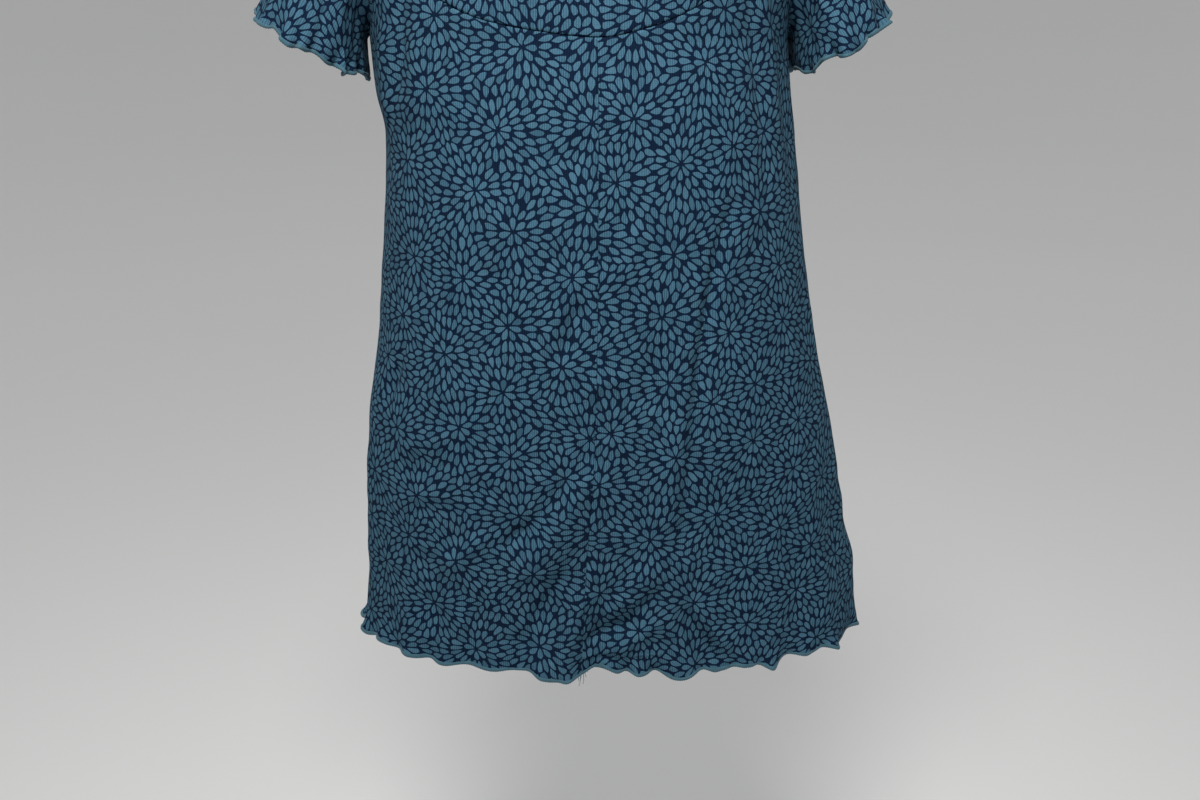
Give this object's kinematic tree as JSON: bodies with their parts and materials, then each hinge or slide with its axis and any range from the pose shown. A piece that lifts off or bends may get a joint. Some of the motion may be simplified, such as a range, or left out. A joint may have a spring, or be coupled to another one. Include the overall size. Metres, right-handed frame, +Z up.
{
  "type": "shift dress",
  "caption": "Short-sleeved jersey shift dress with a curved front yoke, centre-front seam, loose A-line body, petal print and frilled rolled hems, as worn.",
  "frame": {"origin": "midway between the two shoulder seams, at the height where the wearer's shoulders carry the dress", "axes": "+Z up along the worn dress, -Y out of the front, +X towards the viewer's right when the front is seen"},
  "size_m": [0.4715, 0.2433, 0.6981],
  "materials": {
    "printed_jersey": "fine matt jersey printed with teal petals on a dark navy ground"
  },
  "bodies": {
    "root": {"front_left": "printed_jersey", "front_right": "printed_jersey", "front_yoke": "printed_jersey", "back": "printed_jersey", "sleeve_left": "printed_jersey", "sleeve_right": "printed_jersey"}
  },
  "joints": []
}
